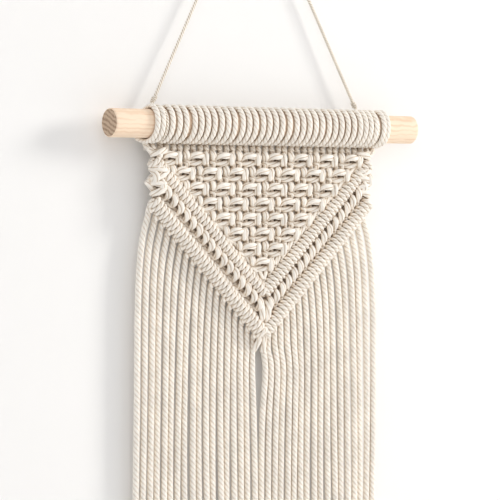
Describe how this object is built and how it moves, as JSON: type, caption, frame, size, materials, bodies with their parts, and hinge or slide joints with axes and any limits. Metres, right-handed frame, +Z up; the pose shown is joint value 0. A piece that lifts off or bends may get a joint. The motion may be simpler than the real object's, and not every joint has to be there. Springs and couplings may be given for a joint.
{
  "type": "wall hanging",
  "caption": "Knotted cotton wall hanging: a V-shaped openwork panel and a long cord fringe, tied to a round wooden rod that hangs from a nail by a thin cord.",
  "frame": {"origin": "the point where the hanging cord rests on its nail", "axes": "+Z up, +X along the rod to the right as seen from the room, +Y into the wall"},
  "size_m": [0.33, 0.039, 0.7858],
  "materials": {
    "pine": "raw sanded pine",
    "cotton": "soft matte twisted cotton",
    "thin_cotton": "matte thin twisted cotton"
  },
  "bodies": {
    "hanger": {"hanging_cord": "thin_cotton", "hitch_01": "cotton", "hitch_02": "cotton", "hitch_03": "cotton", "hitch_04": "cotton", "hitch_05": "cotton", "hitch_06": "cotton", "hitch_07": "cotton", "hitch_08": "cotton", "hitch_09": "cotton", "hitch_10": "cotton", "hitch_11": "cotton", "hitch_12": "cotton", "hitch_13": "cotton", "hitch_14": "cotton", "hitch_15": "cotton", "hitch_16": "cotton", "hitch_17": "cotton", "hitch_18": "cotton"},
    "rod": {"dowel": "pine"},
    "panel": {"square_knot_net": "cotton", "inner_ridge": "cotton", "knot_chain": "cotton", "outer_ridge": "cotton"},
    "fringe_01": {"strand_01": "cotton"},
    "fringe_02": {"strand_02": "cotton"},
    "fringe_03": {"strand_03": "cotton"},
    "fringe_04": {"strand_04": "cotton"},
    "fringe_05": {"strand_05": "cotton"},
    "fringe_06": {"strand_06": "cotton"},
    "fringe_07": {"strand_07": "cotton"},
    "fringe_08": {"strand_08": "cotton"},
    "fringe_09": {"strand_09": "cotton"},
    "fringe_10": {"strand_10": "cotton"},
    "fringe_11": {"strand_11": "cotton"},
    "fringe_12": {"strand_12": "cotton"},
    "fringe_13": {"strand_13": "cotton"},
    "fringe_14": {"strand_14": "cotton"},
    "fringe_15": {"strand_15": "cotton"},
    "fringe_16": {"strand_16": "cotton"},
    "fringe_17": {"strand_17": "cotton"},
    "fringe_18": {"strand_18": "cotton"},
    "fringe_19": {"strand_19": "cotton"},
    "fringe_20": {"strand_20": "cotton"},
    "fringe_21": {"strand_21": "cotton"},
    "fringe_22": {"strand_22": "cotton"},
    "fringe_23": {"strand_23": "cotton"},
    "fringe_24": {"strand_24": "cotton"},
    "fringe_25": {"strand_25": "cotton"},
    "fringe_26": {"strand_26": "cotton"},
    "fringe_27": {"strand_27": "cotton"},
    "fringe_28": {"strand_28": "cotton"},
    "fringe_29": {"strand_29": "cotton"},
    "fringe_30": {"strand_30": "cotton"},
    "fringe_31": {"strand_31": "cotton"},
    "fringe_32": {"strand_32": "cotton"},
    "fringe_33": {"strand_33": "cotton"},
    "fringe_34": {"strand_34": "cotton"},
    "fringe_35": {"strand_35": "cotton"},
    "fringe_36": {"strand_36": "cotton"}
  },
  "joints": [
    {"name": "rod_roll", "type": "hinge", "parent": "hanger", "child": "rod", "pos_m": [0, -0.02, -0.225], "axis": [1, 0, 0], "continuous": true},
    {"name": "panel_swing", "type": "hinge", "parent": "hanger", "child": "panel", "pos_m": [0, -0.0145, -0.2445], "axis": [1, 0, 0], "range_deg": [-35, 0]},
    {"name": "fringe_01_swing", "type": "hinge", "parent": "panel", "child": "fringe_01", "pos_m": [-0.11799, -0.007, -0.30289], "axis": [1, 0, 0], "range_deg": [-35, 0]},
    {"name": "fringe_02_swing", "type": "hinge", "parent": "panel", "child": "fringe_02", "pos_m": [-0.11152, -0.007, -0.30936], "axis": [1, 0, 0], "range_deg": [-35, 0]},
    {"name": "fringe_03_swing", "type": "hinge", "parent": "panel", "child": "fringe_03", "pos_m": [-0.10505, -0.007, -0.31583], "axis": [1, 0, 0], "range_deg": [-35, 0]},
    {"name": "fringe_04_swing", "type": "hinge", "parent": "panel", "child": "fringe_04", "pos_m": [-0.09858, -0.007, -0.3223], "axis": [1, 0, 0], "range_deg": [-35, 0]},
    {"name": "fringe_05_swing", "type": "hinge", "parent": "panel", "child": "fringe_05", "pos_m": [-0.09211, -0.007, -0.32877], "axis": [1, 0, 0], "range_deg": [-35, 0]},
    {"name": "fringe_06_swing", "type": "hinge", "parent": "panel", "child": "fringe_06", "pos_m": [-0.08564, -0.007, -0.33524], "axis": [1, 0, 0], "range_deg": [-35, 0]},
    {"name": "fringe_07_swing", "type": "hinge", "parent": "panel", "child": "fringe_07", "pos_m": [-0.07917, -0.007, -0.34171], "axis": [1, 0, 0], "range_deg": [-35, 0]},
    {"name": "fringe_08_swing", "type": "hinge", "parent": "panel", "child": "fringe_08", "pos_m": [-0.0727, -0.007, -0.34818], "axis": [1, 0, 0], "range_deg": [-35, 0]},
    {"name": "fringe_09_swing", "type": "hinge", "parent": "panel", "child": "fringe_09", "pos_m": [-0.06623, -0.007, -0.35465], "axis": [1, 0, 0], "range_deg": [-35, 0]},
    {"name": "fringe_10_swing", "type": "hinge", "parent": "panel", "child": "fringe_10", "pos_m": [-0.05976, -0.007, -0.36112], "axis": [1, 0, 0], "range_deg": [-35, 0]},
    {"name": "fringe_11_swing", "type": "hinge", "parent": "panel", "child": "fringe_11", "pos_m": [-0.05329, -0.007, -0.36759], "axis": [1, 0, 0], "range_deg": [-35, 0]},
    {"name": "fringe_12_swing", "type": "hinge", "parent": "panel", "child": "fringe_12", "pos_m": [-0.04682, -0.007, -0.37406], "axis": [1, 0, 0], "range_deg": [-35, 0]},
    {"name": "fringe_13_swing", "type": "hinge", "parent": "panel", "child": "fringe_13", "pos_m": [-0.04035, -0.007, -0.38053], "axis": [1, 0, 0], "range_deg": [-35, 0]},
    {"name": "fringe_14_swing", "type": "hinge", "parent": "panel", "child": "fringe_14", "pos_m": [-0.03388, -0.007, -0.387], "axis": [1, 0, 0], "range_deg": [-35, 0]},
    {"name": "fringe_15_swing", "type": "hinge", "parent": "panel", "child": "fringe_15", "pos_m": [-0.02741, -0.007, -0.39347], "axis": [1, 0, 0], "range_deg": [-35, 0]},
    {"name": "fringe_16_swing", "type": "hinge", "parent": "panel", "child": "fringe_16", "pos_m": [-0.02094, -0.007, -0.39994], "axis": [1, 0, 0], "range_deg": [-35, 0]},
    {"name": "fringe_17_swing", "type": "hinge", "parent": "panel", "child": "fringe_17", "pos_m": [-0.01447, -0.007, -0.40641], "axis": [1, 0, 0], "range_deg": [-35, 0]},
    {"name": "fringe_18_swing", "type": "hinge", "parent": "panel", "child": "fringe_18", "pos_m": [-0.008, -0.007, -0.41288], "axis": [1, 0, 0], "range_deg": [-35, 0]},
    {"name": "fringe_19_swing", "type": "hinge", "parent": "panel", "child": "fringe_19", "pos_m": [0.008, -0.007, -0.41288], "axis": [1, 0, 0], "range_deg": [-35, 0]},
    {"name": "fringe_20_swing", "type": "hinge", "parent": "panel", "child": "fringe_20", "pos_m": [0.01447, -0.007, -0.40641], "axis": [1, 0, 0], "range_deg": [-35, 0]},
    {"name": "fringe_21_swing", "type": "hinge", "parent": "panel", "child": "fringe_21", "pos_m": [0.02094, -0.007, -0.39994], "axis": [1, 0, 0], "range_deg": [-35, 0]},
    {"name": "fringe_22_swing", "type": "hinge", "parent": "panel", "child": "fringe_22", "pos_m": [0.02741, -0.007, -0.39347], "axis": [1, 0, 0], "range_deg": [-35, 0]},
    {"name": "fringe_23_swing", "type": "hinge", "parent": "panel", "child": "fringe_23", "pos_m": [0.03388, -0.007, -0.387], "axis": [1, 0, 0], "range_deg": [-35, 0]},
    {"name": "fringe_24_swing", "type": "hinge", "parent": "panel", "child": "fringe_24", "pos_m": [0.04035, -0.007, -0.38053], "axis": [1, 0, 0], "range_deg": [-35, 0]},
    {"name": "fringe_25_swing", "type": "hinge", "parent": "panel", "child": "fringe_25", "pos_m": [0.04682, -0.007, -0.37406], "axis": [1, 0, 0], "range_deg": [-35, 0]},
    {"name": "fringe_26_swing", "type": "hinge", "parent": "panel", "child": "fringe_26", "pos_m": [0.05329, -0.007, -0.36759], "axis": [1, 0, 0], "range_deg": [-35, 0]},
    {"name": "fringe_27_swing", "type": "hinge", "parent": "panel", "child": "fringe_27", "pos_m": [0.05976, -0.007, -0.36112], "axis": [1, 0, 0], "range_deg": [-35, 0]},
    {"name": "fringe_28_swing", "type": "hinge", "parent": "panel", "child": "fringe_28", "pos_m": [0.06623, -0.007, -0.35465], "axis": [1, 0, 0], "range_deg": [-35, 0]},
    {"name": "fringe_29_swing", "type": "hinge", "parent": "panel", "child": "fringe_29", "pos_m": [0.0727, -0.007, -0.34818], "axis": [1, 0, 0], "range_deg": [-35, 0]},
    {"name": "fringe_30_swing", "type": "hinge", "parent": "panel", "child": "fringe_30", "pos_m": [0.07917, -0.007, -0.34171], "axis": [1, 0, 0], "range_deg": [-35, 0]},
    {"name": "fringe_31_swing", "type": "hinge", "parent": "panel", "child": "fringe_31", "pos_m": [0.08564, -0.007, -0.33524], "axis": [1, 0, 0], "range_deg": [-35, 0]},
    {"name": "fringe_32_swing", "type": "hinge", "parent": "panel", "child": "fringe_32", "pos_m": [0.09211, -0.007, -0.32877], "axis": [1, 0, 0], "range_deg": [-35, 0]},
    {"name": "fringe_33_swing", "type": "hinge", "parent": "panel", "child": "fringe_33", "pos_m": [0.09858, -0.007, -0.3223], "axis": [1, 0, 0], "range_deg": [-35, 0]},
    {"name": "fringe_34_swing", "type": "hinge", "parent": "panel", "child": "fringe_34", "pos_m": [0.10505, -0.007, -0.31583], "axis": [1, 0, 0], "range_deg": [-35, 0]},
    {"name": "fringe_35_swing", "type": "hinge", "parent": "panel", "child": "fringe_35", "pos_m": [0.11152, -0.007, -0.30936], "axis": [1, 0, 0], "range_deg": [-35, 0]},
    {"name": "fringe_36_swing", "type": "hinge", "parent": "panel", "child": "fringe_36", "pos_m": [0.11799, -0.007, -0.30289], "axis": [1, 0, 0], "range_deg": [-35, 0]}
  ],
  "couplings": [
    {"joint": "fringe_02_swing", "follows": "fringe_01_swing", "ratio": 1},
    {"joint": "fringe_03_swing", "follows": "fringe_01_swing", "ratio": 1},
    {"joint": "fringe_04_swing", "follows": "fringe_01_swing", "ratio": 1},
    {"joint": "fringe_05_swing", "follows": "fringe_01_swing", "ratio": 1},
    {"joint": "fringe_06_swing", "follows": "fringe_01_swing", "ratio": 1},
    {"joint": "fringe_07_swing", "follows": "fringe_01_swing", "ratio": 1},
    {"joint": "fringe_08_swing", "follows": "fringe_01_swing", "ratio": 1},
    {"joint": "fringe_09_swing", "follows": "fringe_01_swing", "ratio": 1},
    {"joint": "fringe_10_swing", "follows": "fringe_01_swing", "ratio": 1},
    {"joint": "fringe_11_swing", "follows": "fringe_01_swing", "ratio": 1},
    {"joint": "fringe_12_swing", "follows": "fringe_01_swing", "ratio": 1},
    {"joint": "fringe_13_swing", "follows": "fringe_01_swing", "ratio": 1},
    {"joint": "fringe_14_swing", "follows": "fringe_01_swing", "ratio": 1},
    {"joint": "fringe_15_swing", "follows": "fringe_01_swing", "ratio": 1},
    {"joint": "fringe_16_swing", "follows": "fringe_01_swing", "ratio": 1},
    {"joint": "fringe_17_swing", "follows": "fringe_01_swing", "ratio": 1},
    {"joint": "fringe_18_swing", "follows": "fringe_01_swing", "ratio": 1},
    {"joint": "fringe_19_swing", "follows": "fringe_36_swing", "ratio": 1},
    {"joint": "fringe_20_swing", "follows": "fringe_36_swing", "ratio": 1},
    {"joint": "fringe_21_swing", "follows": "fringe_36_swing", "ratio": 1},
    {"joint": "fringe_22_swing", "follows": "fringe_36_swing", "ratio": 1},
    {"joint": "fringe_23_swing", "follows": "fringe_36_swing", "ratio": 1},
    {"joint": "fringe_24_swing", "follows": "fringe_36_swing", "ratio": 1},
    {"joint": "fringe_25_swing", "follows": "fringe_36_swing", "ratio": 1},
    {"joint": "fringe_26_swing", "follows": "fringe_36_swing", "ratio": 1},
    {"joint": "fringe_27_swing", "follows": "fringe_36_swing", "ratio": 1},
    {"joint": "fringe_28_swing", "follows": "fringe_36_swing", "ratio": 1},
    {"joint": "fringe_29_swing", "follows": "fringe_36_swing", "ratio": 1},
    {"joint": "fringe_30_swing", "follows": "fringe_36_swing", "ratio": 1},
    {"joint": "fringe_31_swing", "follows": "fringe_36_swing", "ratio": 1},
    {"joint": "fringe_32_swing", "follows": "fringe_36_swing", "ratio": 1},
    {"joint": "fringe_33_swing", "follows": "fringe_36_swing", "ratio": 1},
    {"joint": "fringe_34_swing", "follows": "fringe_36_swing", "ratio": 1},
    {"joint": "fringe_35_swing", "follows": "fringe_36_swing", "ratio": 1}
  ]
}
